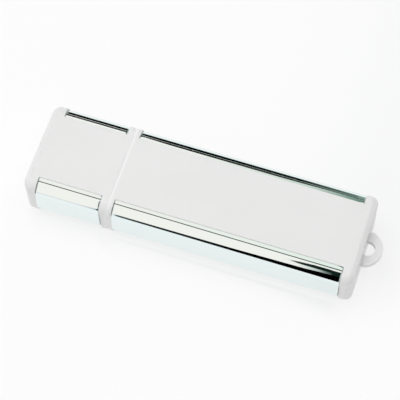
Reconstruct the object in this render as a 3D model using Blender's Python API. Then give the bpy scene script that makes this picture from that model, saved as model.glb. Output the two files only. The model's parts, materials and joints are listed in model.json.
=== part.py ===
"""USB flash drive lying flat: white plastic case and pull-off cap, bright side rails, lanyard loop.

The drive lies along X, with the cap at -X and the lanyard loop at +X. Z is up and Z = 0 is the
surface it lies on. The origin is the centre of the bounding box's bottom face. Sizes below are
in millimetres, and MM turns them into Blender's metres. "Station" is the distance from the
cap's closed end.
"""

from math import asin, cos, pi, radians, sin, sqrt

import bmesh
import bpy

MM = 0.001

# The whole stick
STICK_LENGTH = 68.0
LOOP_REACH = 3.0
HEIGHT = 10.4
CASE_HALF_WIDTH = 9.9
CAP_LENGTH = 17.6
SEAM_GAP = 0.25
CLEARANCE = 0.2
OVERSHOOT = 2.0

# Rounding and draft of the white case
TOP_ROUND = 2.1
BOTTOM_ROUND = 1.0
CORNER_ROUND = 2.1
END_SLOPE_LENGTH = 1.2
END_SLOPE_DROP = 0.5
END_EDGE_LENGTH = 0.3
END_EDGE_DROP = 0.35
SIDE_DRAFT = 0.55
SEAM_ROUND = 0.35
SHARPEST_ROUND = 0.15

# Bright rails on the long sides
PLATE_HALF_WIDTH = 7.1
STRIP_EDGE = 8.08
RAIL_HALF_WIDTH = 10.15
RAIL_INSET = 0.05
RAIL_TOP_ROUND = 3.1
RAIL_BOTTOM_ROUND = 3.7
RAIL_FLANGE = 0.95
RAIL_WEB_INNER = 8.4
RAIL_GROOVE = 0.16
RAIL_GROOVE_HALF_WIDTH = 0.09
CAP_RAIL_STATIONS = (3.15, 16.3)
BODY_RAIL_STATIONS = (18.85, 65.0)

# Walls
CAP_END_WALL = 1.6
FRONT_WALL = 1.5
REAR_WALL = 1.6
CASE_SPLIT = 6.5
CAVITY_LOW = 1.4
CAVITY_HIGH = 9.0
CAVITY_HALF_WIDTH = 6.7
CAVITY_CORNER = 0.5

# Cap's inside
CAP_CAVITY_HALF_WIDTH = 7.0
CAP_CAVITY_LOW = 1.5
CAP_CAVITY_HIGH = 8.9
CAP_CAVITY_CORNER = 0.8
LINER_HALF_WIDTH = 6.8
LINER_LOW = 1.7
LINER_HIGH = 8.7
LINER_CORNER = 0.6
LINER_SETBACK = 0.5

# Type A plug
PLUG_WIDTH = 12.0
PLUG_HEIGHT = 4.5
PLUG_SKIN = 0.3
PLUG_CORNER = 0.6
PLUG_STATIONS = (2.4, 21.0)
PLUG_MIDDLE = 5.2
WINDOW_STATIONS = (8.8, 11.1)
WINDOW_INNER = 1.6
WINDOW_OUTER = 3.9
TONGUE_STATIONS = (2.9, 20.7)
TONGUE_THICKNESS = 1.9
TONGUE_CORNER = 0.2

# Plug contacts and their grooves
CONTACT_WIDTH = 1.0
CONTACT_THICKNESS = 0.22
CONTACT_SINK = 0.1
GROOVE_SINK = 0.25
GROOVE_SIDE_GAP = 0.12
LONG_CONTACT_STATION = 3.7
SHORT_CONTACT_STATION = 4.7
CONTACT_BEND_STATION = 21.6
CONTACT_STEP = 0.6
CONTACT_TAIL = 2.0
CONTACT_OFFSETS = {"contact_vbus": 3.5, "contact_data_minus": 1.0,
                   "contact_data_plus": -1.0, "contact_ground": -3.5}

# Lanyard loop
LOOP_CENTRE = 67.15
LOOP_RADIUS = 3.85
LOOP_LOW = 4.8
LOOP_HIGH = 6.35
LOOP_EDGE = 0.5
LOOP_RING = 1.55
LOOP_HOLE_HALF_WIDTH = 1.5
LOOP_HOLE_ROUND = 1.3
LOOP_LEG_STEP = 0.35
LOOP_BAR = 1.2

# Circuit board
BOARD_STATIONS = (21.3, 64.6)
BOARD_HALF_WIDTH = 6.4
BOARD_TOP = 4.75
BOARD_THICKNESS = 1.0
BOARD_CORNER = 0.6
CRYSTAL_CORNER = 2.2

CAP_END_X = -(STICK_LENGTH + LOOP_REACH) / 2


def station_x(station):
    """World X, in millimetres, of a distance from the cap's closed end."""
    return CAP_END_X + station


def make_material(name, colour, roughness, metallic=0.0):
    material = bpy.data.materials.new(name)
    material.use_nodes = True
    shader = material.node_tree.nodes["Principled BSDF"]
    shader.inputs["Base Color"].default_value = (*colour, 1.0)
    shader.inputs["Roughness"].default_value = roughness
    shader.inputs["Metallic"].default_value = metallic
    material.diffuse_color = (*colour, 1.0)
    return material


def make_empty(name, x, z, parent=None):
    empty = bpy.data.objects.new(name, None)
    bpy.context.collection.objects.link(empty)
    empty.location = (x * MM, 0.0, z * MM)
    if parent:
        empty.parent = parent
        empty.location.x -= parent.location.x
        empty.location.z -= parent.location.z
    return empty


def finish_object(name, mesh_builder, material, parent, origin):
    """Turn a bmesh in millimetres, drawn about origin, into a named object under its parent."""
    bmesh.ops.recalc_face_normals(mesh_builder, faces=mesh_builder.faces)
    bmesh.ops.scale(mesh_builder, vec=(MM, MM, MM), verts=mesh_builder.verts)
    mesh = bpy.data.meshes.new(name)
    mesh_builder.to_mesh(mesh)
    mesh_builder.free()
    mesh.shade_smooth()
    mesh.set_sharp_from_angle(angle=radians(35))
    item = bpy.data.objects.new(name, mesh)
    bpy.context.collection.objects.link(item)
    item.location = [coordinate * MM for coordinate in origin]
    if parent:
        item.parent = parent
        item.location = [here - there for here, there in zip(item.location, parent_origin(parent))]
    if material:
        mesh.materials.append(material)
    return item


def parent_origin(parent):
    """World position of an empty, which only ever hangs under unrotated empties."""
    position = parent.location.copy()
    while parent.parent:
        parent = parent.parent
        position += parent.location
    return position


def loft(rings):
    """Closed body through rings of equally many points, with flat ends."""
    builder = bmesh.new()
    rows = [[builder.verts.new(point) for point in ring] for ring in rings]
    count = len(rows[0])
    for row, following in zip(rows, rows[1:]):
        for k in range(count):
            after = (k + 1) % count
            builder.faces.new((row[k], row[after], following[after], following[k]))
    builder.faces.new(rows[0][::-1])
    builder.faces.new(rows[-1])
    return builder


def along_x(outline, x_low, x_high):
    """Prism of a closed (y, z) outline between two X values."""
    return loft([[(x, y, z) for y, z in outline] for x in (x_low, x_high)])


def along_z(outline, z_low, z_high):
    """Prism of a closed (x, y) outline between two Z values."""
    return loft([[(x, y, z) for x, y in outline] for z in (z_low, z_high)])


def arc(centre, radii, start, end, steps):
    """Points on an elliptical arc, angles in degrees."""
    points = []
    for k in range(steps + 1):
        angle = radians(start + (end - start) * k / steps)
        points.append((centre[0] + radii[0] * cos(angle), centre[1] + radii[1] * sin(angle)))
    return points


def rounded_rectangle(half_width, low, high, radius, steps=3):
    """Closed outline, centred on the first axis, with equal round corners."""
    inner = half_width - radius
    outline = arc((inner, high - radius), (radius, radius), 0, 90, steps)
    outline += arc((-inner, high - radius), (radius, radius), 90, 180, steps)
    outline += arc((-inner, low + radius), (radius, radius), 180, 270, steps)
    outline += arc((inner, low + radius), (radius, radius), 270, 360, steps)
    return outline


def case_section(side_inset, top_drop, bottom_rise):
    """(y, z) outline of the white case, with its sides, top and bottom moved inwards.

    The sides lean in towards the bottom, and the top and bottom edges are round.
    """
    top = HEIGHT - top_drop
    top_round = max(TOP_ROUND - side_inset, SHARPEST_ROUND)
    bottom_round = max(BOTTOM_ROUND - side_inset, SHARPEST_ROUND)
    wide = CASE_HALF_WIDTH - side_inset
    narrow = wide - SIDE_DRAFT
    right = arc((wide - top_round, top - top_round), (top_round, top_round), 90, 0, 6)
    bottom_centre = (narrow - bottom_round, bottom_rise + bottom_round)
    right += arc(bottom_centre, (bottom_round, bottom_round), 0, -90, 3)
    left = [(-y, z) for y, z in reversed(right)]
    return right + left


def round_drop(distance, length, depth):
    """Depth that an elliptical edge round has lost at a distance from where the form ends."""
    left = max(1 - distance / length, 0.0)
    return depth * (1 - sqrt(1 - left * left))


def end_drop(distance):
    """How far the top has come down at a distance from a closed end: a slope, then a tight edge."""
    slope = max(1 - distance / END_SLOPE_LENGTH, 0.0)
    edge = max(1 - distance / END_EDGE_LENGTH, 0.0) ** 2
    return END_SLOPE_DROP * slope + END_EDGE_DROP * edge


def closed_end_rings(steps=7):
    """(distance, outline) of a closed end: round upright corners and a sloping top edge."""
    rings = []
    for k in range(steps + 1):
        distance = CORNER_ROUND * (1 - cos(pi / 2 * k / steps))
        side_inset = round_drop(distance, CORNER_ROUND, CORNER_ROUND)
        bottom_rise = round_drop(distance, BOTTOM_ROUND, BOTTOM_ROUND)
        rings.append((distance, case_section(side_inset, end_drop(distance), bottom_rise)))
    return rings


def seam_end_rings(steps=2):
    """(distance, outline) of a seam end, whose edges are lightly round all the way."""
    rings = []
    for k in range(steps + 1):
        distance = SEAM_ROUND * (1 - cos(pi / 2 * k / steps))
        inset = round_drop(distance, SEAM_ROUND, SEAM_ROUND)
        rings.append((distance, case_section(inset, inset, inset)))
    return rings


def case_form(length, direction):
    """Solid white form that starts at its closed end and runs its length in direction (+1 or -1)."""
    rings = closed_end_rings()
    rings += [(length - distance, outline) for distance, outline in reversed(seam_end_rings())]
    return loft([[(direction * distance, y, z) for y, z in outline] for distance, outline in rings])


def rail_quarter(radius, start_y):
    """(y, z below the top) points of a rail's corner round from an inner y out to its flat side."""
    centre_y = RAIL_HALF_WIDTH - radius
    start = asin((start_y - centre_y) / radius)
    points = []
    for k in range(9):
        angle = start + (pi / 2 - start) * k / 8
        points.append((centre_y + radius * sin(angle), radius * (1 - cos(angle))))
    return points


def rail_lip(radius):
    """(y, depth) points of the narrow strip beside the plate, and of the groove at its edge."""
    centre_y = RAIL_HALF_WIDTH - radius
    points = []
    for y, extra in ((PLATE_HALF_WIDTH + CLEARANCE, 0), (STRIP_EDGE - RAIL_GROOVE_HALF_WIDTH, 0),
                     (STRIP_EDGE, RAIL_GROOVE)):
        across = max(y - centre_y, 0)
        points.append((y, radius - sqrt(radius * radius - across * across) + extra))
    return points


def rail_section():
    """(y, z) outline of one rail on the +Y side: a bright channel with a strip on top and below."""
    after_groove = STRIP_EDGE + RAIL_GROOVE_HALF_WIDTH
    upper = rail_lip(RAIL_TOP_ROUND) + rail_quarter(RAIL_TOP_ROUND, after_groove)
    lower = rail_lip(RAIL_BOTTOM_ROUND) + rail_quarter(RAIL_BOTTOM_ROUND, after_groove)
    strip_start = PLATE_HALF_WIDTH + CLEARANCE
    outline = [(y, HEIGHT - RAIL_INSET - depth) for y, depth in upper]
    outline += [(y, RAIL_INSET + depth) for y, depth in reversed(lower)]
    outline += [(strip_start, RAIL_FLANGE), (RAIL_WEB_INNER, RAIL_FLANGE)]
    outline += [(RAIL_WEB_INNER, HEIGHT - RAIL_FLANGE), (strip_start, HEIGHT - RAIL_FLANGE)]
    return outline


def rail_pocket(side):
    """(y, z) outline of the pocket that a rail sits in, open to the outside."""
    plate = PLATE_HALF_WIDTH
    web = RAIL_WEB_INNER - CLEARANCE
    shelf = RAIL_FLANGE + CLEARANCE
    far = RAIL_HALF_WIDTH + OVERSHOOT
    above = HEIGHT + OVERSHOOT
    outline = [(plate, above), (plate, HEIGHT - shelf), (web, HEIGHT - shelf), (web, shelf)]
    outline += [(plate, shelf), (plate, -OVERSHOOT), (far, -OVERSHOOT), (far, above)]
    return [(side * y, z) for y, z in outline]


def make_cutter(name, builder, parent, origin):
    cutter = finish_object(name, builder, None, parent, origin)
    cutter.hide_render = True
    cutter.display_type = "WIRE"
    return cutter


def combine(item, tool, operation="DIFFERENCE"):
    modifier = item.modifiers.new(tool.name, "BOOLEAN")
    modifier.operation = operation
    modifier.object = tool


def cut_rail_pockets(items, label, stations, parent):
    """Cut a pocket for each rail, a little longer than the rail, out of every item."""
    middle_x = station_x(sum(stations) / 2)
    half_length = (stations[1] - stations[0]) / 2 + CLEARANCE
    for side, side_name in ((1, "left"), (-1, "right")):
        pocket = along_x(rail_pocket(side), -half_length, half_length)
        tool = make_cutter(f"cutter_{label}_pocket_{side_name}", pocket, parent, (middle_x, 0, 0))
        for item in items:
            combine(item, tool)


def make_rails(label, stations, parent, material):
    middle_x = station_x(sum(stations) / 2)
    half_length = (stations[1] - stations[0]) / 2
    for side, side_name in ((1, "left"), (-1, "right")):
        outline = [(side * y, z - HEIGHT / 2) for y, z in rail_section()]
        builder = along_x(outline, -half_length, half_length)
        finish_object(f"{label}_{side_name}", builder, material, parent, (middle_x, 0, HEIGHT / 2))


def make_block(name, size, centre, parent, material, corner=0.0):
    """Box of a full size about a centre, with its upright edges rounded by corner."""
    half = [length / 2 for length in size]
    if corner:
        outline = [(x, y) for y, x in rounded_rectangle(half[1], -half[0], half[0], corner, 2)]
    else:
        outline = [(half[0], half[1]), (-half[0], half[1]), (-half[0], -half[1]), (half[0], -half[1])]
    builder = along_z(outline, -half[2], half[2])
    return finish_object(name, builder, material, parent, centre)


def make_cap(cap, materials):
    """Cap shell, its two rails and the sleeve inside that grips the plug."""
    origin = (station_x(0), 0, 0)
    shell = finish_object("cap_shell", case_form(CAP_LENGTH, 1), materials["case"], cap, origin)
    cavity = rounded_rectangle(CAP_CAVITY_HALF_WIDTH, CAP_CAVITY_LOW, CAP_CAVITY_HIGH, CAP_CAVITY_CORNER)
    builder = along_x(cavity, CAP_END_WALL, CAP_LENGTH + OVERSHOOT)
    combine(shell, make_cutter("cutter_cap_cavity", builder, cap, origin))
    cut_rail_pockets([shell], "cap", CAP_RAIL_STATIONS, cap)
    make_rails("cap_rail", CAP_RAIL_STATIONS, cap, materials["rail"])

    outside = rounded_rectangle(LINER_HALF_WIDTH, LINER_LOW, LINER_HIGH, LINER_CORNER)
    sleeve = along_x(outside, CAP_END_WALL + CLEARANCE, CAP_LENGTH - LINER_SETBACK)
    liner = finish_object("cap_liner", sleeve, materials["liner"], cap, origin)
    builder = along_x(plug_outline(CLEARANCE), 0, CAP_LENGTH + OVERSHOOT)
    combine(liner, make_cutter("cutter_cap_grip", builder, cap, origin))


def plug_outline(margin):
    """(y, z) outline of the plug's shield, made larger all round by a margin."""
    reach = PLUG_HEIGHT / 2 + margin
    return rounded_rectangle(PLUG_WIDTH / 2 + margin, PLUG_MIDDLE - reach, PLUG_MIDDLE + reach, PLUG_CORNER)


def make_case_half(name, low, high, body, material):
    """One half of the body's white form: the part of it between two heights."""
    origin = (station_x(STICK_LENGTH), 0, 0)
    length = STICK_LENGTH - CAP_LENGTH - SEAM_GAP
    half = finish_object(name, case_form(length, -1), material, body, origin)
    wide = CASE_HALF_WIDTH + OVERSHOOT
    slab = [(OVERSHOOT, wide), (-STICK_LENGTH, wide), (-STICK_LENGTH, -wide), (OVERSHOOT, -wide)]
    combine(half, make_cutter(f"cutter_{name}", along_z(slab, low, high), body, origin), "INTERSECT")
    return half


def make_case(body, materials):
    """Upper and lower case halves, cut from one form by the cavity, the plug slot and the pockets."""
    gap = CLEARANCE / 2
    white = materials["case"]
    upper = make_case_half("upper_case", CASE_SPLIT + gap, HEIGHT + OVERSHOOT, body, white)
    lower = make_case_half("lower_case", -OVERSHOOT, CASE_SPLIT - gap, body, white)

    origin = (station_x(0), 0, 0)
    front = CAP_LENGTH + SEAM_GAP
    cavity = rounded_rectangle(CAVITY_HALF_WIDTH, CAVITY_LOW, CAVITY_HIGH, CAVITY_CORNER, 2)
    builder = along_x(cavity, front + FRONT_WALL, STICK_LENGTH - REAR_WALL)
    cavity_tool = make_cutter("cutter_cavity", builder, body, origin)
    builder = along_x(plug_outline(CLEARANCE), front - OVERSHOOT, front + FRONT_WALL + OVERSHOOT)
    slot_tool = make_cutter("cutter_plug_slot", builder, body, origin)
    for half in (upper, lower):
        for tool in (cavity_tool, slot_tool):
            combine(half, tool)
    cut_loop_notches(lower, body)
    cut_rail_pockets((upper, lower), "body", BODY_RAIL_STATIONS, body)
    make_rails("body_rail", BODY_RAIL_STATIONS, body, materials["rail"])


def cut_loop_notches(lower_half, body):
    """Two notches in the end wall, open to the split, for the loop's legs."""
    inner = LOOP_HOLE_HALF_WIDTH - CLEARANCE
    outer = LOOP_RADIUS - LOOP_LEG_STEP + CLEARANCE
    origin = (station_x(STICK_LENGTH), 0, 0)
    for side, side_name in ((1, "left"), (-1, "right")):
        outline = [(-REAR_WALL - OVERSHOOT, side * inner), (OVERSHOOT, side * inner),
                   (OVERSHOOT, side * outer), (-REAR_WALL - OVERSHOOT, side * outer)]
        notch = along_z(outline, LOOP_LOW - CLEARANCE, CASE_SPLIT + OVERSHOOT)
        combine(lower_half, make_cutter(f"cutter_loop_notch_{side_name}", notch, body, origin))


def make_loop(body, materials):
    """Lanyard loop: a D-shaped ring. Its legs run through the end wall to a bar inside the case."""
    origin = (station_x(LOOP_CENTRE), 0, 0)
    face = STICK_LENGTH - LOOP_CENTRE
    leg = LOOP_RADIUS - LOOP_LEG_STEP
    bar = face - REAR_WALL - CLEARANCE
    outline = arc((0, 0), (LOOP_RADIUS, LOOP_RADIUS), -75, 75, 14)
    outline += [(face, leg), (bar - LOOP_BAR, leg), (bar - LOOP_BAR, -leg), (face, -leg)]
    builder = along_z(outline, LOOP_LOW, LOOP_HIGH)
    rim = [edge for edge in builder.edges if is_loop_rim(edge, face)]
    bmesh.ops.bevel(builder, geom=rim, offset=LOOP_EDGE, segments=2, profile=0.5, affect="EDGES")
    loop = finish_object("lanyard_loop", builder, materials["case"], body, origin)

    hole_centre = (LOOP_RADIUS - LOOP_RING - LOOP_HOLE_ROUND, 0)
    hole = arc(hole_centre, (LOOP_HOLE_ROUND, LOOP_HOLE_HALF_WIDTH), -90, 90, 10)
    hole += [(bar, LOOP_HOLE_HALF_WIDTH), (bar, -LOOP_HOLE_HALF_WIDTH)]
    builder = along_z(hole, LOOP_LOW - OVERSHOOT, LOOP_HIGH + OVERSHOOT)
    combine(loop, make_cutter("cutter_loop_hole", builder, body, origin))


def is_loop_rim(edge, face):
    """True for the level edges of the round part of the loop, outside the case's end face."""
    first, second = (vertex.co for vertex in edge.verts)
    level = abs(first.z - second.z) < 1e-6
    return level and min(first.x, second.x) > face + CLEARANCE / 2


def make_plug(body, materials):
    """Type A plug: steel shield with four windows, tongue, and four contacts in its grooves."""
    origin = (station_x(0), 0, 0)
    tip, back = PLUG_STATIONS
    low = PLUG_MIDDLE - PLUG_HEIGHT / 2
    high = PLUG_MIDDLE + PLUG_HEIGHT / 2
    builder = along_x(plug_outline(0), tip, back)
    shield = finish_object("plug_shield", builder, materials["steel"], body, origin)
    inside = rounded_rectangle(PLUG_WIDTH / 2 - PLUG_SKIN, low + PLUG_SKIN, high - PLUG_SKIN,
                               PLUG_CORNER - PLUG_SKIN / 2)
    bore = along_x(inside, tip - OVERSHOOT, back + OVERSHOOT)
    combine(shield, make_cutter("cutter_plug_bore", bore, body, origin))
    start, end = WINDOW_STATIONS
    for side, label in ((1, "left"), (-1, "right")):
        inner, outer = side * WINDOW_INNER, side * WINDOW_OUTER
        window = [(start, inner), (end, inner), (end, outer), (start, outer)]
        builder = along_z(window, low - OVERSHOOT, high + OVERSHOOT)
        combine(shield, make_cutter(f"cutter_window_{label}", builder, body, origin))

    tongue_low = low + PLUG_SKIN + CLEARANCE / 2
    tongue_high = tongue_low + TONGUE_THICKNESS
    half_width = PLUG_WIDTH / 2 - PLUG_SKIN - CLEARANCE
    outline = rounded_rectangle(half_width, tongue_low, tongue_high, TONGUE_CORNER, 1)
    builder = along_x(outline, *TONGUE_STATIONS)
    tongue = finish_object("plug_tongue", builder, materials["tongue"], body, origin)
    for name, offset in CONTACT_OFFSETS.items():
        make_contact(name, offset, tongue, tongue_high, body, materials["contact"])


def make_contact(name, offset, tongue, tongue_high, body, material):
    """One spring strip in its groove, with a tail that steps down to the board."""
    long_contact = name in ("contact_vbus", "contact_ground")
    start = LONG_CONTACT_STATION if long_contact else SHORT_CONTACT_STATION
    half = CONTACT_WIDTH / 2
    groove_half = half + GROOVE_SIDE_GAP
    groove_start = start - CLEARANCE
    groove_end = TONGUE_STATIONS[1] + OVERSHOOT
    groove = [(groove_start, offset - groove_half), (groove_end, offset - groove_half),
              (groove_end, offset + groove_half), (groove_start, offset + groove_half)]
    builder = along_z(groove, tongue_high - GROOVE_SINK, tongue_high + OVERSHOOT)
    combine(tongue, make_cutter(f"cutter_{name}", builder, body, (station_x(0), 0, 0)))

    low = tongue_high - CONTACT_SINK
    pad = BOARD_TOP + CLEARANCE / 2
    bend = CONTACT_BEND_STATION
    upper = [(start, low + CONTACT_THICKNESS), (bend, low + CONTACT_THICKNESS),
             (bend + CONTACT_STEP, pad + CONTACT_THICKNESS), (bend + CONTACT_TAIL, pad + CONTACT_THICKNESS)]
    under_bend = bend - CONTACT_SINK
    lower = [(bend + CONTACT_TAIL, pad), (under_bend + CONTACT_STEP, pad), (under_bend, low), (start, low)]
    profile = [(x, z - PLUG_MIDDLE) for x, z in upper + lower]
    strip = loft([[(x, y, z) for x, z in profile] for y in (half, -half)])
    finish_object(name, strip, material, body, (station_x(0), offset, PLUG_MIDDLE))


def make_electronics(body, materials):
    """Circuit board with the memory, the controller, the crystal and the small parts on it."""
    start, end = BOARD_STATIONS
    board_size = (end - start, 2 * BOARD_HALF_WIDTH, BOARD_THICKNESS)
    board_centre = (station_x((start + end) / 2), 0, BOARD_TOP - BOARD_THICKNESS / 2)
    make_block("circuit_board", board_size, board_centre, body, materials["board"], BOARD_CORNER)
    # Name, size, station, offset across the board, and material
    parts = (
        ("controller_chip", (7.0, 7.0, 1.4), 31.0, 0.0, "chip"),
        ("flash_memory_chip", (18.4, 12.0, 1.0), 46.0, 0.0, "chip"),
        ("crystal_can", (4.6, 11.0, 3.4), 58.6, 0.0, "steel"),
        ("voltage_regulator", (1.6, 2.9, 1.1), 25.6, -4.6, "chip"),
        ("activity_led", (1.25, 2.0, 0.8), 62.6, 4.2, "lamp"),
        ("input_capacitor", (1.25, 2.0, 1.2), 25.6, 0.0, "ceramic"),
        ("controller_capacitor", (0.8, 1.6, 0.8), 31.0, 5.1, "ceramic"),
        ("memory_capacitor", (0.8, 1.6, 0.8), 62.6, 0.0, "ceramic"),
        ("data_resistor", (0.8, 1.6, 0.45), 25.6, 4.6, "chip"),
        ("led_resistor", (0.8, 1.6, 0.45), 62.6, -4.2, "chip"),
    )
    for name, size, station, offset, look in parts:
        centre = (station_x(station), offset, BOARD_TOP + CLEARANCE / 2 + size[2] / 2)
        corner = CRYSTAL_CORNER if name == "crystal_can" else 0.0
        make_block(name, size, centre, body, materials[look], corner)


def make_materials():
    return {
        "case": make_material("white_case", (0.80, 0.80, 0.80), 0.38),
        "liner": make_material("white_liner", (0.72, 0.72, 0.70), 0.55),
        "rail": make_material("bright_rail", (0.86, 0.87, 0.87), 0.05, 1.0),
        "steel": make_material("plug_steel", (0.62, 0.62, 0.60), 0.22, 1.0),
        "tongue": make_material("black_tongue", (0.02, 0.02, 0.02), 0.5),
        "contact": make_material("gold_contact", (0.83, 0.61, 0.26), 0.25, 1.0),
        "board": make_material("green_board", (0.02, 0.17, 0.07), 0.45),
        "chip": make_material("black_chip", (0.025, 0.025, 0.028), 0.55),
        "ceramic": make_material("tan_ceramic", (0.45, 0.33, 0.20), 0.5),
        "lamp": make_material("clear_lamp", (0.75, 0.78, 0.72), 0.2),
    }


def clear_scene():
    for item in list(bpy.data.objects):
        bpy.data.objects.remove(item, do_unlink=True)


def main():
    clear_scene()
    materials = make_materials()
    drive = make_empty("usb_flash_drive", 0, 0)
    body = make_empty("drive_body", station_x(CAP_LENGTH + SEAM_GAP), HEIGHT / 2, drive)
    cap = make_empty("cap", station_x(CAP_LENGTH), HEIGHT / 2, drive)
    make_cap(cap, materials)
    make_case(body, materials)
    make_loop(body, materials)
    make_plug(body, materials)
    make_electronics(body, materials)


main()
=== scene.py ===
"""USB flash drive with its cap on, lying flat on a pale table in soft studio light.

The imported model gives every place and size. The white mouldings, bright rails, loop and plug shell
are built again here with finer rounds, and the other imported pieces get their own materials.
Sizes are in millimetres unless a comment says otherwise.
"""

import json
from math import asin, cos, pi, radians, sin, sqrt

import bmesh
import bpy
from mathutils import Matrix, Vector


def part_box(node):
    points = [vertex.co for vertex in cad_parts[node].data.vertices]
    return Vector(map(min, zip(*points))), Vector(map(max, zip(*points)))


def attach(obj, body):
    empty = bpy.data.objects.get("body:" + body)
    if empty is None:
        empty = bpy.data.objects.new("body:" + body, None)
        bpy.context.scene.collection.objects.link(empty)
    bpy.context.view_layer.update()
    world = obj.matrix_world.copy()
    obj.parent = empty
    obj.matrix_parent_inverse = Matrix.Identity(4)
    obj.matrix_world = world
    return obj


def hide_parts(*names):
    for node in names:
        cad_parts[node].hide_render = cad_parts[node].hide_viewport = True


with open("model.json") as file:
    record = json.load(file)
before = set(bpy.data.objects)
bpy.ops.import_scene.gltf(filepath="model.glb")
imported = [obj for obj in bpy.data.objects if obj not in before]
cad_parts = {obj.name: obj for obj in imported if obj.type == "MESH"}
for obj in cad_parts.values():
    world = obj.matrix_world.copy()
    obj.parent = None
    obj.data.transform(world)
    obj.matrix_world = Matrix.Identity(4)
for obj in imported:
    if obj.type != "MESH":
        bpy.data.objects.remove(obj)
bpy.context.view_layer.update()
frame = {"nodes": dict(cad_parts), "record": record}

MM = 0.001

# Places read from the frame
CAP_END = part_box("cap_shell")[0].x / MM
CAP_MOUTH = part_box("cap_shell")[1].x / MM
BODY_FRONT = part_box("upper_case")[0].x / MM
REAR_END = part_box("upper_case")[1].x / MM
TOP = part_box("upper_case")[1].z / MM
HALF_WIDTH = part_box("cap_shell")[1].y / MM
SPLIT = (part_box("upper_case")[0].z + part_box("lower_case")[1].z) / 2 / MM

# White mouldings: section, closed ends with their slope, tight edge and panel line, and seam ends
TOP_ROUND = 2.1
BOTTOM_ROUND = 1.0
CORNER_ROUND = 2.1
END_SLOPE_LENGTH = 1.25
END_SLOPE_DROP = 0.5
END_EDGE_LENGTH = 0.22
END_EDGE_DROP = 0.3
END_INSET = 0.42
END_FOOT_INSET = 0.36
END_FOOT_HEIGHT = 6.4
PANEL_LINE = 1.4
PANEL_LINE_HALF_WIDTH = 0.12
PANEL_LINE_DEPTH = 0.05
SIDE_DRAFT = 0.55
SEAM_SLOPE_LENGTH = 0.5
SEAM_SLOPE_DEPTH = 0.12
# Half width of the highlight painted in a lighter white across the seam's rims
SEAM_HIGHLIGHT_HALF_WIDTH = 0.42
TIGHTEST_ROUND = 0.15
SPLIT_GAP = 0.04
SEAM_LIP = 0.12
EDGE_WIDTH = 0.09
PLATE_HALF_WIDTH = 7.1
TOP_ROUND_STEPS = 12
BOTTOM_ROUND_STEPS = 7

# Rail pockets: their shelf and how many of a section's points each of their corners takes
POCKET_SHELF = 1.15
POCKET_HALF_WIDTH = 8.2
POCKET_END_GAP = 0.025
POCKET_CORNER_POINTS = (4, 7, 7, 3)

# Hollows in the mouldings, and how far a cutting form runs past what it cuts
OVERSHOOT = 1.0
WALL = 1.6
CAVITY_HALF_WIDTH = 6.7
CAVITY_HEIGHTS = (1.4, 9.0)
CAVITY_CORNER = 0.5
LINER_GAP = 0.15
PLUG_SLOT_GAP = 0.12
PLUG_SLOT_CORNER = 0.7

# Bright rails
RAIL_STRIP_START = 7.13
GROOVE_MIDDLE = 7.93
GROOVE_HALF_WIDTH = 0.065
GROOVE_FLOOR_SHARE = 0.6
GROOVE_DEPTH = 0.2
WIDEST_GROOVE_FACE = 0.4
RAIL_TOP_ROUND = 3.1
RAIL_BOTTOM_ROUND = 3.7
RAIL_FLANGE = 0.95
RAIL_WEB_INNER = 8.4
RAIL_END_LENGTH = 0.35
RAIL_END_INSET = 0.22
RAIL_EDGE_WIDTH = 0.03
RAIL_STEPS = 24

# Lanyard loop, whose arc is in degrees to each side, and the notches for its legs
LOOP_RADIUS = 3.85
LOOP_ARC = 77
LOOP_ARC_STEPS = 48
LOOP_LEG_INSET = 0.35
LOOP_BAR = 1.2
LOOP_HOLE_OFFSET = 1.0
LOOP_HOLE_DEPTH = 1.3
LOOP_HOLE_HALF_WIDTH = 1.5
LOOP_HOLE_STEPS = 24
LOOP_THINNING = 0.35
LOOP_ROUND = 0.5
NOTCH_INNER = 1.4
NOTCH_GAP = 0.05

# Plug shell
SHIELD_THICKNESS = 0.3
SHIELD_CORNER = 0.6
SHIELD_INNER_CORNER = 0.4
SHIELD_EDGE_WIDTH = 0.07
WINDOW_STATIONS = (6.4, 8.7)
WINDOW_EDGES = (1.6, 3.9)

# Table: reach each way, drop below the drive, colour, own light, and how much its polish shows
TABLE_SIZE = 1800
TABLE_DROP = 0.02
TABLE_COLOUR = (0.24, 0.24, 0.242)
TABLE_GLOW = 0.755
POLISH_FROM_ABOVE = 0.067
POLISH_AT_AN_ANGLE = 0.008

# Tent round the drive: how far off its walls and cards stand, its span in X, the elevations of its
# edges in degrees, and where the front bar stands in Y
TENT_REACH = 700
STREAK_REACH = 690
WEDGE_REACH = 680
TENT_SPAN = (-900, 900)
FRONT_ROOF_EDGE = 76
BACK_ROOF_EDGE = 66
BACK_GAP_EDGE = 37
FRONT_BAR_PLACE = -75

# World light: strength towards the cap's side and beyond the loop, and where it falls in X
ROOM_STRENGTH = (0.64, 0.08)
ROOM_FALL = (0.5, 0.8)

# Soft lights: place and size in metres, and power in watts
SOFTBOXES = (
    ("overhead_softbox", (0.0, 0.1, 0.95), (1.2, 0.9), 1.9),
    ("loop_end_softbox", (0.28, 0.05, 0.98), (0.5, 0.8), 1.5),
    ("cap_end_softbox", (-0.50, 0.05, 0.95), (0.6, 0.8), 2.0),
)

# Camera: where it stands and what it looks at, in metres, and its long lens
CAMERA_PLACE = (0.04739, -0.14844, 0.31436)
CAMERA_TARGET = (-0.0015, 0.0, 0.005)
CAMERA_LENS = 158.27
CAMERA_SENSOR = 36.0
CAMERA_SHIFT = (-0.00206, 0.00646)
CAMERA_CLIP = (0.01, 10.0)


# ---------------------------------------------------------------- outlines and forms

def arc(centre, radii, start, end, steps):
    """Points on an elliptical arc, angles in degrees."""
    points = []
    for k in range(steps + 1):
        angle = radians(start + (end - start) * k / steps)
        points.append((centre[0] + radii[0] * cos(angle), centre[1] + radii[1] * sin(angle)))
    return points


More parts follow.
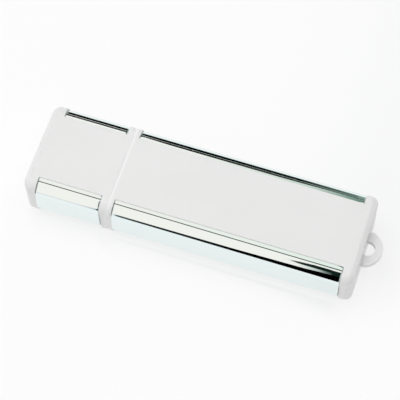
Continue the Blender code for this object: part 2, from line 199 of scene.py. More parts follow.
def rounded_rectangle(half_width, low, high, radius, steps=8):
    """Closed outline, centred on the first axis, with equal round corners."""
    inner = half_width - radius
    corners = ((inner, high - radius, 0), (-inner, high - radius, 90),
               (-inner, low + radius, 180), (inner, low + radius, 270))
    outline = []
    for across, up, start in corners:
        outline += arc((across, up), (radius, radius), start, start + 90, steps)
    return outline


def mirrored(half_outline):
    """Closed outline from its +Y half, which runs from the top to the bottom."""
    return half_outline + [(-y, z) for y, z in reversed(half_outline)]


def case_section(side_inset=0.0, top_drop=0.0, bottom_rise=0.0):
    """(y, z) outline of a white moulding, with its sides, top and bottom moved inwards."""
    top = TOP - top_drop
    top_round = max(TOP_ROUND - side_inset, TIGHTEST_ROUND)
    bottom_round = max(BOTTOM_ROUND - side_inset, TIGHTEST_ROUND)
    wide = HALF_WIDTH - side_inset
    narrow = wide - SIDE_DRAFT
    half = [(PLATE_HALF_WIDTH, top)]
    top_centre = (wide - top_round, top - top_round)
    half += arc(top_centre, (top_round, top_round), 90, 0, TOP_ROUND_STEPS)
    bottom_centre = (narrow - bottom_round, bottom_rise + bottom_round)
    half += arc(bottom_centre, (bottom_round, bottom_round), 0, -90, BOTTOM_ROUND_STEPS)
    half.append((PLATE_HALF_WIDTH, bottom_rise))
    return mirrored(half)


def pocket_section():
    """The same outline cut back where a rail sits, point for point."""
    corners = ((PLATE_HALF_WIDTH, TOP - POCKET_SHELF), (POCKET_HALF_WIDTH, TOP - POCKET_SHELF),
               (POCKET_HALF_WIDTH, POCKET_SHELF), (PLATE_HALF_WIDTH, POCKET_SHELF))
    half = [(PLATE_HALF_WIDTH, TOP)]
    for corner, points in zip(corners, POCKET_CORNER_POINTS):
        half += [corner] * points
    half.append((PLATE_HALF_WIDTH, 0.0))
    return mirrored(half)


def round_drop(distance, length, depth):
    """Depth that an elliptical edge round has lost at a distance from where the form ends."""
    left = max(1 - distance / length, 0.0)
    return depth * (1 - sqrt(1 - left * left))


def end_drop(distance):
    """How far the top has come down at a distance from a closed end: panel line, slope, edge."""
    slope = max(1 - distance / END_SLOPE_LENGTH, 0.0)
    edge = max(1 - distance / END_EDGE_LENGTH, 0.0) ** 2
    line = max(1 - abs(distance - PANEL_LINE) / PANEL_LINE_HALF_WIDTH, 0.0)
    return END_SLOPE_DROP * slope + END_EDGE_DROP * edge + PANEL_LINE_DEPTH * line


def closed_end_rings(steps=16):
    """(distance, outline) of a closed end: round upright corners and a sloping top edge."""
    rings = []
    distances = [CORNER_ROUND * (1 - cos(pi / 2 * k / steps)) for k in range(steps + 1)]
    distances += [PANEL_LINE + share * PANEL_LINE_HALF_WIDTH for share in (-1, 0, 1)]
    for distance in sorted(distances):
        side_inset = round_drop(distance, CORNER_ROUND, CORNER_ROUND)
        bottom_rise = round_drop(distance, BOTTOM_ROUND, BOTTOM_ROUND)
        rings.append((distance, case_section(side_inset, end_drop(distance), bottom_rise)))
    return rings


def draw_end_in(builder, closed_end, direction):
    """Draw a closed end's face in, a little less at its foot than at the loop's height."""
    for vertex in builder.verts:
        distance = (vertex.co.x - closed_end) * direction
        share = max(1 - distance / CORNER_ROUND, 0.0)
        up = min(vertex.co.z / END_FOOT_HEIGHT, 1.0)
        inset = END_FOOT_INSET + (END_INSET - END_FOOT_INSET) * up
        vertex.co.x += direction * inset * share


def seam_end_rings(steps=6):
    """(distance, outline) of a seam end, which draws in a little all the way round its mouth."""
    rings = []
    for k in range(steps + 1):
        distance = SEAM_SLOPE_LENGTH * k / steps
        inset = SEAM_SLOPE_DEPTH * (1 - k / steps) ** 1.5
        rings.append((distance, case_section(inset, inset, inset)))
    return rings


def moulding(closed_end, seam_end, rail_node):
    """White moulding from its closed end to its seam, with rail pockets."""
    direction = 1 if seam_end > closed_end else -1
    length = abs(seam_end - closed_end)
    low, high = (corner.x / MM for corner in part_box(rail_node))
    near, far = sorted((abs(low - closed_end), abs(high - closed_end)))
    near -= POCKET_END_GAP
    far += POCKET_END_GAP
    rings = closed_end_rings()
    rings += [(near, case_section()), (near, pocket_section())]
    rings += [(far, pocket_section()), (far, case_section())]
    rings += [(length - distance, outline) for distance, outline in reversed(seam_end_rings())]
    builder = loft([(closed_end + direction * distance, outline) for distance, outline in rings])
    draw_end_in(builder, closed_end, direction)
    return builder


def loft(rings):
    """Closed bmesh, in millimetres, through (x, outline) rings, with flat ends."""
    builder = bmesh.new()
    rows = [[builder.verts.new((x, y, z)) for y, z in outline] for x, outline in rings]
    count = len(rows[0])
    for row, following in zip(rows, rows[1:]):
        for k in range(count):
            after = (k + 1) % count
            builder.faces.new((row[k], row[after], following[after], following[k]))
    builder.faces.new(rows[0][::-1])
    builder.faces.new(rows[-1])
    bmesh.ops.remove_doubles(builder, verts=builder.verts, dist=1e-5)
    bmesh.ops.recalc_face_normals(builder, faces=builder.faces)
    return builder


def prism_x(outline, start, end):
    """Closed bmesh of a (y, z) outline between two places in X."""
    return loft([(start, outline), (end, outline)])


def prism_z(outline, low, high):
    """Closed bmesh of an (x, y) outline between two heights."""
    builder = bmesh.new()
    rows = [[builder.verts.new((x, y, z)) for x, y in outline] for z in (low, high)]
    count = len(outline)
    for k in range(count):
        after = (k + 1) % count
        builder.faces.new((rows[0][k], rows[0][after], rows[1][after], rows[1][k]))
    builder.faces.new(rows[0][::-1])
    builder.faces.new(rows[1])
    bmesh.ops.recalc_face_normals(builder, faces=builder.faces)
    return builder


def keep_above(builder, height):
    """Throw away what is below a height."""
    cut_level(builder, height, clear_above=False)


def keep_below(builder, height):
    """Throw away what is above a height."""
    cut_level(builder, height, clear_above=True)


def cut_level(builder, height, clear_above):
    """Cut a closed form at a height, throw one side away and close the cut."""
    everything = list(builder.verts) + list(builder.edges) + list(builder.faces)
    bmesh.ops.bisect_plane(builder, geom=everything, plane_co=(0, 0, height), plane_no=(0, 0, 1),
                           clear_outer=clear_above, clear_inner=not clear_above)
    rim = [edge for edge in builder.edges if edge.is_boundary]
    bmesh.ops.holes_fill(builder, edges=rim)
    bmesh.ops.recalc_face_normals(builder, faces=builder.faces)


# ---------------------------------------------------------------- objects

def add_object(name, builder, material=None):
    """Turn a bmesh in millimetres into an object in metres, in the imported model's frame."""
    bmesh.ops.scale(builder, vec=(MM, MM, MM), verts=builder.verts)
    mesh = bpy.data.meshes.new(name)
    builder.to_mesh(mesh)
    builder.free()
    mesh.shade_smooth()
    item = bpy.data.objects.new(name, mesh)
    bpy.context.collection.objects.link(item)
    if material:
        mesh.materials.append(material)
    return item


def cut_away(item, *tools):
    """Boolean each tool's form out of item, apply it, and remove the tools."""
    for tool in tools:
        modifier = item.modifiers.new(tool.name, "BOOLEAN")
        modifier.operation = "DIFFERENCE"
        modifier.solver = "EXACT"
        modifier.object = tool
    evaluated = item.evaluated_get(bpy.context.evaluated_depsgraph_get())
    mesh = bpy.data.meshes.new_from_object(evaluated)
    item.modifiers.clear()
    item.data = mesh
    for tool in tools:
        bpy.data.objects.remove(tool, do_unlink=True)


def soften(item, width, segments=3, angle=40):
    """Round the hard edges and keep the flat faces flat."""
    bevel = item.modifiers.new("edges", "BEVEL")
    bevel.width = width * MM
    bevel.segments = segments
    bevel.limit_method = "ANGLE"
    bevel.angle_limit = radians(angle)
    bevel.use_clamp_overlap = True
    normals = item.modifiers.new("normals", "WEIGHTED_NORMAL")
    normals.keep_sharp = False
    normals.weight = 80


def place(item, body, slot, *nodes):
    """Hide the imported pieces that a piece stands for, and say what it moves with. The slot is not
    used.
    """
    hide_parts(*nodes)
    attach(item, body)


# ---------------------------------------------------------------- materials

class Shader:
    """A node material with one Principled shader, and short ways to add detail to it."""

    def __init__(self, name, colour, roughness, metallic=0.0, **sockets):
        self.material = bpy.data.materials.new(name)
        self.material.use_nodes = True
        self.tree = self.material.node_tree
        self.shader = self.tree.nodes["Principled BSDF"]
        self.shader.inputs["Base Color"].default_value = (*colour, 1.0)
        self.shader.inputs["Roughness"].default_value = roughness
        self.shader.inputs["Metallic"].default_value = metallic
        for socket, value in sockets.items():
            self.shader.inputs[socket.replace("_", " ")].default_value = value
        self.colour = colour
        self.roughness = roughness
        self.coordinates = self.tree.nodes.new("ShaderNodeTexCoord")
        self.normal = None

    def link(self, output, target):
        """Feed a node's output to a socket."""
        self.tree.links.new(output, target)

    def noise(self, scale, detail=2.0, stretch=(1.0, 1.0, 1.0), rough=0.5):
        """Noise in the piece's own place, in cells per metre."""
        mapping = self.tree.nodes.new("ShaderNodeMapping")
        mapping.inputs["Scale"].default_value = stretch
        self.link(self.coordinates.outputs["Object"], mapping.inputs["Vector"])
        noise = self.tree.nodes.new("ShaderNodeTexNoise")
        noise.inputs["Scale"].default_value = scale
        noise.inputs["Detail"].default_value = detail
        noise.inputs["Roughness"].default_value = rough
        self.link(mapping.outputs["Vector"], noise.inputs["Vector"])
        return noise.outputs["Fac"]

    def remap(self, source, low, high, start, end):
        """Map a source's range from low to high onto start to end."""
        node = self.tree.nodes.new("ShaderNodeMapRange")
        node.inputs["From Min"].default_value = low
        node.inputs["From Max"].default_value = high
        node.inputs["To Min"].default_value = start
        node.inputs["To Max"].default_value = end
        self.link(source, node.inputs["Value"])
        return node.outputs["Result"]

    def bump(self, source, depth):
        """Add relief of a depth in metres on top of what is there."""
        node = self.tree.nodes.new("ShaderNodeBump")
        node.inputs["Strength"].default_value = 1.0
        node.inputs["Distance"].default_value = depth
        self.link(source, node.inputs["Height"])
        if self.normal:
            self.link(self.normal, node.inputs["Normal"])
        self.normal = node.outputs["Normal"]
        self.link(self.normal, self.shader.inputs["Normal"])

    def vary_roughness(self, source, low, high, spread):
        """Let the roughness differ by a spread each way, as a source goes from low to high."""
        rough = self.remap(source, low, high, self.roughness - spread, self.roughness + spread)
        self.link(rough, self.shader.inputs["Roughness"])

    def paint_highlight_band(self, centre, half_width, other):
        """Blend to a lighter colour in a band across X: a painted highlight where two mouldings
        meet.
        """
        split = self.tree.nodes.new("ShaderNodeSeparateXYZ")
        self.link(self.coordinates.outputs["Object"], split.inputs["Vector"])
        offset = self.tree.nodes.new("ShaderNodeMath")
        offset.operation = "SUBTRACT"
        offset.inputs[1].default_value = centre * MM
        self.link(split.outputs["X"], offset.inputs[0])
        distance = self.tree.nodes.new("ShaderNodeMath")
        distance.operation = "ABSOLUTE"
        self.link(offset.outputs["Value"], distance.inputs[0])
        edge = half_width * MM
        share = self.remap(distance.outputs["Value"], edge, edge * 0.6, 0.0, 1.0)
        blend = self.tree.nodes.new("ShaderNodeMix")
        blend.data_type = "RGBA"
        base = self.shader.inputs["Base Color"]
        self.link(base.links[0].from_socket, blend.inputs["A"])
        blend.inputs["B"].default_value = (*other, 1.0)
        self.link(share, blend.inputs["Factor"])
        self.link(blend.outputs["Result"], base)

    def tint(self, source, low, high, other):
        """Blend the base colour towards another colour by a source."""
        blend = self.tree.nodes.new("ShaderNodeMix")
        blend.data_type = "RGBA"
        blend.inputs["A"].default_value = (*self.colour, 1.0)
        blend.inputs["B"].default_value = (*other, 1.0)
        self.link(self.remap(source, low, high, 0.0, 1.0), blend.inputs["Factor"])
        self.link(blend.outputs["Result"], self.shader.inputs["Base Color"])


def moulded_plastic(name, colour, other, roughness, grain=0.5, rim=None):
    """Satin moulded plastic: fine spark texture, faint flow marks and slight handling sheen.

    A rim is the (centre, half width, colour) of a painted highlight band across X. Plastic that has
    one also lets a little light in.
    """
    look = Shader(name, colour, roughness, Specular_IOR_Level=0.45)
    look.tint(look.noise(55, 3), 0.35, 0.65, other)
    # The rim band is a highlight painted in a lighter white
    if rim:
        look.paint_highlight_band(*rim)
        look.shader.inputs["Subsurface Weight"].default_value = 0.2
        look.shader.inputs["Subsurface Radius"].default_value = (1.0, 1.0, 1.0)
        look.shader.inputs["Subsurface Scale"].default_value = 0.3 * MM
    look.vary_roughness(look.noise(180, 4), 0.3, 0.7, 0.05)
    look.bump(look.noise(9000, 2), 1.6e-6 * grain)
    look.bump(look.noise(700, 3), 1.2e-6 * grain)
    return look.material


def groove_painted_shade(name):
    """Near-black painted shade for the bottom of a groove in the plating."""
    look = Shader(name, (0.012, 0.012, 0.009), 0.6, Specular_IOR_Level=0.15)
    look.vary_roughness(look.noise(300, 3), 0.3, 0.7, 0.1)
    look.bump(look.noise(6000, 2), 2e-6)
    return look.material


def bright_plate(name, colour, roughness, wave, scratch):
    """Polished plating: a mirror with a faint wave in it, hairline scratches and smudges."""
    look = Shader(name, colour, roughness, metallic=1.0)
    look.vary_roughness(look.noise(90, 5), 0.42, 0.7, roughness * 0.6)
    look.bump(look.noise(60, 1, stretch=(0.5, 1.0, 1.0)), wave)
    look.bump(look.noise(5000, 2, stretch=(0.02, 1.0, 1.0)), scratch)
    return look.material


# Case plastic: its two shades, and the lighter white of a highlight painted on the rims of the seam
CASE_WHITE = (0.82, 0.82, 0.818)
CASE_SHADED_WHITE = (0.80, 0.80, 0.798)
SEAM_HIGHLIGHT_WHITE = (0.89, 0.89, 0.89)

# Other plastics: slot, name, colour, second colour, roughness and grain
PLASTICS = (
    ("white_liner", "liner_white", (0.70, 0.70, 0.68), (0.66, 0.66, 0.64), 0.5, 1.0),
    ("black_tongue", "tongue_black", (0.018, 0.018, 0.02), (0.03, 0.03, 0.03), 0.5, 1.5),
    ("black_chip", "chip_resin", (0.022, 0.022, 0.025), (0.035, 0.035, 0.037), 0.55, 3.0),
    ("green_board", "solder_mask", (0.015, 0.13, 0.05), (0.02, 0.18, 0.07), 0.35, 3.0),
    ("tan_ceramic", "ceramic_tan", (0.45, 0.33, 0.20), (0.38, 0.27, 0.16), 0.5, 3.0),
    ("clear_lamp", "lamp_resin", (0.75, 0.78, 0.72), (0.70, 0.74, 0.66), 0.2, 0.5),
)

# Plated metals: slot, name, colour, roughness, and depths of wave and scratches in metres
METALS = (
    ("bright_rail", "mirror_plating", (0.82, 0.90, 0.89), 0.03, 2e-6, 1.5e-7),
    ("plug_steel", "plug_plating", (0.66, 0.66, 0.64), 0.2, 2e-6, 8e-7),
    ("crystal_steel", "can_plating", (0.68, 0.68, 0.66), 0.25, 2e-6, 8e-7),
    ("gold_contact", "gold_plating", (0.85, 0.60, 0.24), 0.2, 1e-6, 8e-7),
)


def make_materials():
    """Make the materials by slot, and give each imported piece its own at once."""
    # The seam's rims get a painted highlight in a lighter white
    seam_highlight = ((CAP_MOUTH + BODY_FRONT) / 2, SEAM_HIGHLIGHT_HALF_WIDTH, SEAM_HIGHLIGHT_WHITE)
    white = moulded_plastic("satin_white", CASE_WHITE, CASE_SHADED_WHITE, 0.36, rim=seam_highlight)
    looks = {"white_case": white}
    for slot_name, *look in PLASTICS:
        looks[slot_name] = moulded_plastic(*look)
    for slot_name, *look in METALS:
        looks[slot_name] = bright_plate(*look)
    for part in frame["record"]["subparts"]:
        node = frame["nodes"][part["node"]]
        for slot in node.material_slots:
            slot.material = looks[part["material_slot"]]
    return looks


# ---------------------------------------------------------------- white mouldings

def slot_round(node, gap):
    """Outline of a slot that leaves a gap round a node."""
    low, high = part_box(node)
    half_width, bottom, top = high.y / MM, low.z / MM, high.z / MM
    return rounded_rectangle(half_width + gap, bottom - gap, top + gap, PLUG_SLOT_CORNER)


def make_cap(look):
    """Cap shell: the white form with its rail pockets and an open mouth."""
    form = moulding(CAP_END, CAP_MOUTH + SEAM_LIP, "cap_rail_left")
    shell = add_object("cap_moulding", form, look)
    cavity = slot_round("cap_liner", LINER_GAP)
    cavity_form = prism_x(cavity, CAP_END + WALL, CAP_MOUTH + OVERSHOOT)
    cut_away(shell, add_object("cap_cavity", cavity_form))
    soften(shell, EDGE_WIDTH)
    place(shell, "cap", "white_case", "cap_shell")


def make_case_halves(look):
    """Upper and lower body mouldings, which meet at a hairline."""
    for name, node in (("upper_moulding", "upper_case"), ("lower_moulding", "lower_case")):
        builder = moulding(REAR_END, BODY_FRONT - SEAM_LIP, "body_rail_left")
        if node == "upper_case":
            keep_above(builder, SPLIT + SPLIT_GAP / 2)
        else:
            keep_below(builder, SPLIT - SPLIT_GAP / 2)
        half = add_object(name, builder, look)
        cavity = rounded_rectangle(CAVITY_HALF_WIDTH, *CAVITY_HEIGHTS, CAVITY_CORNER)
        cavity_form = prism_x(cavity, BODY_FRONT + WALL, REAR_END - WALL)
        slot = slot_round("plug_shield", PLUG_SLOT_GAP)
        slot_form = prism_x(slot, BODY_FRONT - OVERSHOOT, BODY_FRONT + WALL + OVERSHOOT)
        tools = [add_object("case_cavity", cavity_form), add_object("plug_slot", slot_form)]
        if node == "lower_case":
            tools += loop_notches()
        cut_away(half, *tools)
        soften(half, EDGE_WIDTH)
        place(half, "drive_body", "white_case", node)


# ---------------------------------------------------------------- bright rails

def rail_corner(half_width, radius, steps=28):
    """(y, depth) points of a rail from its plate edge, across the groove, to its flat side."""
    centre = half_width - radius
    floor = GROOVE_HALF_WIDTH * GROOVE_FLOOR_SHARE
    points = []
    for y, extra in ((RAIL_STRIP_START, 0), ((RAIL_STRIP_START + GROOVE_MIDDLE) / 2, 0),
                     (GROOVE_MIDDLE - GROOVE_HALF_WIDTH, 0),
                     (GROOVE_MIDDLE - floor, GROOVE_DEPTH), (GROOVE_MIDDLE + floor, GROOVE_DEPTH)):
        points.append((y, radius - sqrt(radius ** 2 - max(y - centre, 0) ** 2) + extra))
    start = asin((GROOVE_MIDDLE + GROOVE_HALF_WIDTH - centre) / radius)
    for k in range(steps + 1):
        angle = start + (pi / 2 - start) * k / steps
        points.append((centre + radius * sin(angle), radius * (1 - cos(angle))))
    return points


def rail_half_section(node):
    """(y, z) outline of a rail on the +Y side, from the plate round to the bottom plate."""
    low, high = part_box(node)
    half_width = max(abs(low.y), abs(high.y)) / MM
    bottom, top = low.z / MM, high.z / MM
    upper = rail_corner(half_width, RAIL_TOP_ROUND)
    lower = rail_corner(half_width, RAIL_BOTTOM_ROUND)
    outline = [(y, top - depth) for y, depth in upper]
    outline += [(y, bottom + depth) for y, depth in reversed(lower)]
    outline += [(RAIL_STRIP_START, RAIL_FLANGE), (RAIL_WEB_INNER, RAIL_FLANGE)]
    outline += [(RAIL_WEB_INNER, TOP - RAIL_FLANGE), (RAIL_STRIP_START, TOP - RAIL_FLANGE)]
    return outline


def rail_rings(outline, start, end, steps=5):
    """(x, outline) rings of a rail, whose two ends draw in a little to meet the white collars."""
    half = []
    for k in range(steps + 1):
        distance = RAIL_END_LENGTH * (1 - cos(pi / 2 * k / steps))
        inset = round_drop(distance, RAIL_END_LENGTH, RAIL_END_INSET)
        narrowing = 1 - inset / HALF_WIDTH
        half.append((distance, [(y * narrowing, drawn_in(z, inset)) for y, z in outline]))
    rings = [(start + distance, ring) for distance, ring in half]
    rings += [(start + (end - start) * k / RAIL_STEPS, outline) for k in range(1, RAIL_STEPS)]
    return rings + [(end - distance, ring) for distance, ring in reversed(half)]


def drawn_in(z, inset):
    """Height moved towards the middle of the case in proportion."""
    return TOP / 2 + (z - TOP / 2) * (1 - inset / (TOP / 2))


def paint_groove_shade(rail, material):
    """Give the narrow faces in and beside the grooves the near-black painted shade as their own
    material.
    """
    rail.data.materials.append(material)
    for face in rail.data.polygons:
        across = abs(abs(face.center.y) / MM - GROOVE_MIDDLE)
        if across >= GROOVE_HALF_WIDTH or abs(face.normal.x) >= 0.5:
            continue
        if face.area / face_length(rail, face) < WIDEST_GROOVE_FACE * MM:
            face.material_index = 1


def face_length(item, face):
    """Length of a face along X."""
    stations = [item.data.vertices[k].co.x for k in face.vertices]
    return max(stations) - min(stations)


def make_rails(look):
    """The cap's and the body's rails, on both sides."""
    # The grooves' dark line is painted shade, a near-black material
    groove_shade = groove_painted_shade("groove_painted_shade")
    for body, prefix in (("cap", "cap_rail"), ("drive_body", "body_rail")):
        for side, side_name in ((1, "left"), (-1, "right")):
            node = f"{prefix}_{side_name}"
            low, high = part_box(node)
            outline = [(side * y, z) for y, z in rail_half_section(node)]
            rings = rail_rings(outline, low.x / MM, high.x / MM)
            rail = add_object(f"bright_{node}", loft(rings), look)
            paint_groove_shade(rail, groove_shade)
            soften(rail, RAIL_EDGE_WIDTH, segments=2, angle=50)
            place(rail, body, "bright_rail", node)


# ---------------------------------------------------------------- lanyard loop

def loop_sizes():
    """(circle centre x, leg half width, lowest z, highest z) of the lanyard loop."""
    low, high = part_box("lanyard_loop")
    return high.x / MM - LOOP_RADIUS, LOOP_RADIUS - LOOP_LEG_INSET, low.z / MM, high.z / MM


def loop_notches():
    """Forms of the two notches in the end wall that the loop's legs pass through."""
    _, leg, low, _ = loop_sizes()
    start, end = REAR_END - WALL - OVERSHOOT, REAR_END + OVERSHOOT
    tools = []
    for side, side_name in ((1, "left"), (-1, "right")):
        inner, outer = side * NOTCH_INNER, side * (leg + NOTCH_GAP)
        outline = [(start, inner), (end, inner), (end, outer), (start, outer)]
        notch = prism_z(outline, low - NOTCH_GAP, SPLIT + OVERSHOOT)
        tools.append(add_object(f"notch_{side_name}", notch))
    return tools


def make_loop(look):
    """Soft D-shaped ring, with legs that run in through the end wall to a bar."""
    centre, leg, low, high = loop_sizes()
    inner_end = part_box("lanyard_loop")[0].x / MM
    radii = (LOOP_RADIUS, LOOP_RADIUS)
    outline = arc((centre, 0), radii, -LOOP_ARC, LOOP_ARC, LOOP_ARC_STEPS)
    outline += [(REAR_END, leg), (inner_end, leg), (inner_end, -leg), (REAR_END, -leg)]
    loop = add_object("lanyard_ring", prism_z(outline, low + LOOP_THINNING, high), look)
    hole_centre = (centre + LOOP_HOLE_OFFSET, 0)
    hole_radii = (LOOP_HOLE_DEPTH, LOOP_HOLE_HALF_WIDTH)
    hole = arc(hole_centre, hole_radii, -90, 90, LOOP_HOLE_STEPS)
    bar = inner_end + LOOP_BAR
    hole += [(bar, LOOP_HOLE_HALF_WIDTH), (bar, -LOOP_HOLE_HALF_WIDTH)]
    cut_away(loop, add_object("loop_hole", prism_z(hole, low - OVERSHOOT, high + OVERSHOOT)))
    soften(loop, LOOP_ROUND, segments=10, angle=50)
    place(loop, "drive_body", "white_case", "lanyard_loop")


# ---------------------------------------------------------------- plug

def make_plug(look):
    """Folded steel shell of the plug, with its four square windows."""
    low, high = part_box("plug_shield")
    half_width, bottom, top = high.y / MM, low.z / MM, high.z / MM
    tip, back = low.x / MM, high.x / MM
    outside = rounded_rectangle(half_width, bottom, top, SHIELD_CORNER)
    inside = rounded_rectangle(half_width - SHIELD_THICKNESS, bottom + SHIELD_THICKNESS,
                               top - SHIELD_THICKNESS, SHIELD_INNER_CORNER)
    shell = add_object("plug_shell", prism_x(outside, tip, back), look)
    tools = [add_object("plug_bore", prism_x(inside, tip - OVERSHOOT, back + OVERSHOOT))]
    start, end = (tip + station for station in WINDOW_STATIONS)
    for side, side_name in ((1, "left"), (-1, "right")):
        inner, outer = (side * y for y in WINDOW_EDGES)
        window = [(start, inner), (end, inner), (end, outer), (start, outer)]
        window_form = prism_z(window, bottom - OVERSHOOT, top + OVERSHOOT)
        tools.append(add_object(f"window_{side_name}", window_form))
    cut_away(shell, *tools)
    soften(shell, SHIELD_EDGE_WIDTH, segments=2, angle=50)
    place(shell, "drive_body", "plug_steel", "plug_shield")


# ---------------------------------------------------------------- studio

def glow(name, colour, strength):
    """Material that is plain light of one colour."""
    material = bpy.data.materials.new(name)
    material.use_nodes = True
    tree = material.node_tree
    tree.nodes.remove(tree.nodes["Principled BSDF"])
    emission = tree.nodes.new("ShaderNodeEmission")
    emission.inputs["Color"].default_value = (*colour, 1.0)
    emission.inputs["Strength"].default_value = strength
    surface = tree.nodes["Material Output"].inputs["Surface"]
    tree.links.new(emission.outputs["Emission"], surface)
    return material


def make_floor():
    """Pale table that is lit a little from below, with a thin polish that shows from above."""
    look = Shader("pale_table", TABLE_COLOUR, 0.5, Specular_IOR_Level=0.0)
    look.shader.inputs["Emission Color"].default_value = (1.0, 1.0, 1.0, 1.0)
    look.shader.inputs["Emission Strength"].default_value = TABLE_GLOW
    look.bump(look.noise(2500, 2), 1e-6)
    nodes = look.tree.nodes
    polish = nodes.new("ShaderNodeBsdfGlossy")
    look.link(look.remap(look.noise(12, 3), 0.3, 0.7, 0.07, 0.11), polish.inputs["Roughness"])
    facing = nodes.new("ShaderNodeLayerWeight").outputs["Facing"]
    share = look.remap(facing, 0.2, 0.6, POLISH_FROM_ABOVE, POLISH_AT_AN_ANGLE)
    blend = nodes.new("ShaderNodeMixShader")
    look.link(share, blend.inputs["Fac"])
    look.link(look.shader.outputs["BSDF"], blend.inputs[1])
    look.link(polish.outputs["BSDF"], blend.inputs[2])
    look.link(blend.outputs["Shader"], nodes["Material Output"].inputs["Surface"])
    builder = bmesh.new()
    bmesh.ops.create_grid(builder, x_segments=2, y_segments=2, size=TABLE_SIZE)
    bmesh.ops.translate(builder, verts=builder.verts, vec=(0, 0, -TABLE_DROP))
    floor = add_object("pale_floor", builder, look.material)


def hide_from_view(item):
    """Leave a card or wall to mirrors only: it isn't seen, lights nothing and casts no shadow."""
    for ray in ("visible_camera", "visible_diffuse", "visible_shadow", "visible_transmission"):
        setattr(item, ray, False)


def wall(name, side, elevations, material, steps=16):
    """Curved wall of the tent along X, on one side in Y, between two elevations in degrees."""
    builder = bmesh.new()
    low, high = elevations
    rows = []
    for k in range(steps + 1):
        elevation = low + (high - low) * k / steps
        points = [on_wall(x, elevation, side, TENT_REACH) for x in TENT_SPAN]
        rows.append([builder.verts.new(point) for point in points])
    for row, following in zip(rows, rows[1:]):
        builder.faces.new((row[0], row[1], following[1], following[0]))
    hide_from_view(add_object(name, builder, material))


def fading_glow(name, stops, strength):
    """Material that is light whose colour changes along X, through (x, colour) stops."""
    material = glow(name, (1.0, 1.0, 1.0), strength)
    tree = material.node_tree
    coordinates = tree.nodes.new("ShaderNodeTexCoord")
    split = tree.nodes.new("ShaderNodeSeparateXYZ")
    tree.links.new(coordinates.outputs["Object"], split.inputs["Vector"])
    spread = tree.nodes.new("ShaderNodeMapRange")
    spread.inputs["From Min"].default_value = stops[0][0] * MM
    spread.inputs["From Max"].default_value = stops[-1][0] * MM
    tree.links.new(split.outputs["X"], spread.inputs["Value"])
    ramp = tree.nodes.new("ShaderNodeValToRGB")
    length = stops[-1][0] - stops[0][0]
    ramp.color_ramp.elements[0].color = (*stops[0][1], 1.0)
    ramp.color_ramp.elements[1].color = (*stops[-1][1], 1.0)
    for x, colour in stops[1:-1]:
        ramp.color_ramp.elements.new((x - stops[0][0]) / length).color = (*colour, 1.0)
    tree.links.new(spread.outputs["Result"], ramp.inputs["Fac"])
    tree.links.new(ramp.outputs["Color"], tree.nodes["Emission"].inputs["Color"])
    return material


def on_wall(x, elevation, side, reach):
    """Point on a tent wall, from X, an elevation in degrees, a side in Y and a reach."""
    return x, side * reach * cos(radians(elevation)), reach * sin(radians(elevation))


def strip(name, columns, material):
    """Card between a lower and an upper point in each column."""
    builder = bmesh.new()
    rows = [[builder.verts.new(point) for point in column] for column in columns]
    for row, following in zip(rows, rows[1:]):
        builder.faces.new((row[0], row[1], following[1], following[0]))
    hide_from_view(add_object(name, builder, material))


def wall_strip(name, side, reach, columns, material):
    """Card on a tent wall, from (x, lowest elevation, highest elevation) columns."""
    points = [(on_wall(x, low, side, reach), on_wall(x, high, side, reach))
              for x, low, high in columns]
    strip(name, points, material)


def make_tent():
    """What the bright parts mirror: pale walls, a dark gap behind, and dark cards in front."""
    make_walls()
    make_dark_wedge()
    make_front_bar()


def make_walls():
    """Cream front, roof and back that fade towards the loop, and the gap below the back."""
    cream = glow("tent_cream", (1.06, 0.987, 0.943), 1.0)
    roof = fading_glow("tent_roof", (
        (-187, (1.05, 0.985, 0.945)),
        (-145, (1.04, 0.98, 0.94)),
        (-80, (1.00, 0.98, 0.93)),
        (-10, (0.94, 0.965, 0.90)),
    ), 0.98)
    back = fading_glow("tent_back", (
        (-187, (1.05, 0.99, 0.955)),
        (-120, (1.03, 0.985, 0.95)),
        (-69, (0.83, 0.86, 0.79)),
        (-37, (0.65, 0.72, 0.66)),
        (-15, (0.24, 0.34, 0.29)),
        (20, (0.10, 0.14, 0.12)),
    ), 1.0)
    gap = fading_glow("tent_gap", (
        (-187, (0.0, 0.0, 0.0)),
        (-45, (0.0, 0.005, 0.004)),
        (-20, (0.10, 0.15, 0.13)),
        (10, (0.26, 0.36, 0.31)),
    ), 1.0)
    wall("tent_front", -1, (0, FRONT_ROOF_EDGE), cream)
    wall("tent_roof_front", -1, (FRONT_ROOF_EDGE, 90), roof)
    wall("tent_roof_back", 1, (BACK_ROOF_EDGE, 90), roof)
    wall("tent_back", 1, (BACK_GAP_EDGE, BACK_ROOF_EDGE), back)
    wall("tent_back_gap", 1, (0, BACK_GAP_EDGE), gap)
    wall_strip("gap_top", 1, STREAK_REACH, (
        (-190, 30, 35), (-150, 30, 38), (-125, 30, 45), (-60, 30, 45), (-40, 30, 42), (-20, 30, 37),
    ), gap)


def make_dark_wedge():
    """Dark card in front that widens towards the loop, with a streak that fades into it."""
    deep_green = glow("tent_deep_green", (0.006, 0.016, 0.012), 1.0)
    wall_strip("dark_wedge", -1, WEDGE_REACH, (
        (-36, 51, 54), (-31, 43, 59), (-23, 43.5, 66), (-14, 45, 67), (-10, 44, 66), (-4, 38, 66),
        (30, 20, 66), (600, 20, 66),
    ), deep_green)
    dimming = fading_glow("tent_dimming", (
        (-32, (1.06, 0.987, 0.943)),
        (-23, (0.74, 0.76, 0.72)),
        (-19, (0.58, 0.60, 0.57)),
        (-14, (0.14, 0.17, 0.16)),
        (-9, (0.02, 0.03, 0.028)),
    ), 1.0)
    wall_strip("dim_streak", -1, STREAK_REACH, ((-32, 20, 50), (30, 20, 50)), dimming)


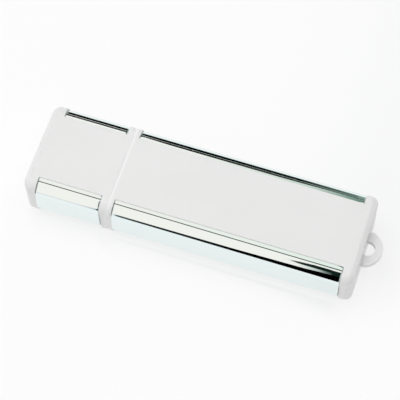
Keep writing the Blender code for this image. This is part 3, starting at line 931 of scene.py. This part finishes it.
def make_front_bar():
    """Low dark bar close in front, taller and darker towards the loop."""
    bar = fading_glow("front_bar", (
        (-90, (0.80, 0.76, 0.80)),
        (-35, (0.76, 0.73, 0.77)),
        (-33.2, (0.55, 0.60, 0.62)),
        (-31.8, (0.10, 0.15, 0.16)),
        (-22, (0.015, 0.025, 0.025)),
        (0, (0.0, 0.0, 0.0)),
    ), 1.0)
    heights = ((-90, 2, 7), (-38, 2, 8), (-34, 0, 14), (-20, 0, 18), (0, 0, 25), (12, 0, 34),
               (17, 0, 38), (20, 0, 46), (24, 0, 50), (90, 0, 60))
    strip("front_bar_card", [((x, FRONT_BAR_PLACE, low), (x, FRONT_BAR_PLACE, high))
                             for x, low, high in heights], bar)


def softbox(name, position, size, energy):
    """Broad soft light that points at the drive and that mirrors don't show."""
    light = bpy.data.lights.new(name, "AREA")
    light.shape = "RECTANGLE"
    light.size, light.size_y = size
    light.energy = energy
    item = bpy.data.objects.new(name, light)
    bpy.context.collection.objects.link(item)
    item.location = position
    item.rotation_euler = (-Vector(position)).to_track_quat("-Z", "Y").to_euler()
    item.visible_camera = False
    item.visible_glossy = False


def make_room():
    """Even light from all round, dimmer beyond the loop."""
    world = bpy.data.worlds.new("soft_room")
    world.use_nodes = True
    tree = world.node_tree
    background = tree.nodes["Background"]
    background.inputs["Color"].default_value = (1.0, 1.0, 1.0, 1.0)
    coordinates = tree.nodes.new("ShaderNodeTexCoord")
    split = tree.nodes.new("ShaderNodeSeparateXYZ")
    tree.links.new(coordinates.outputs["Generated"], split.inputs["Vector"])
    spread = tree.nodes.new("ShaderNodeMapRange")
    spread.inputs["From Min"].default_value, spread.inputs["From Max"].default_value = ROOM_FALL
    spread.inputs["To Min"].default_value, spread.inputs["To Max"].default_value = ROOM_STRENGTH
    tree.links.new(split.outputs["X"], spread.inputs["Value"])
    tree.links.new(spread.outputs["Result"], background.inputs["Strength"])
    bpy.context.scene.world = world


def make_lights():
    """A broad soft light overhead and one leaning in from each end."""
    for softbox_facts in SOFTBOXES:
        softbox(*softbox_facts)


def make_camera():
    """Camera at the shot's angle, with a long lens and a small shift."""
    camera = bpy.data.cameras.new("camera")
    camera.lens = CAMERA_LENS
    camera.sensor_width = CAMERA_SENSOR
    camera.shift_x, camera.shift_y = CAMERA_SHIFT
    camera.clip_start, camera.clip_end = CAMERA_CLIP
    item = bpy.data.objects.new("camera", camera)
    bpy.context.collection.objects.link(item)
    item.location = CAMERA_PLACE
    aim = Vector(CAMERA_TARGET) - Vector(CAMERA_PLACE)
    item.rotation_euler = aim.to_track_quat("-Z", "Y").to_euler()
    bpy.context.scene.camera = item


def main():
    """Materials, pieces, studio and camera."""
    looks = make_materials()
    make_cap(looks["white_case"])
    make_case_halves(looks["white_case"])
    make_rails(looks["bright_rail"])
    make_loop(looks["white_case"])
    make_plug(looks["plug_steel"])
    make_floor()
    make_tent()
    make_room()
    make_lights()
    make_camera()
    bpy.context.scene.view_settings.view_transform = "Standard"


main()
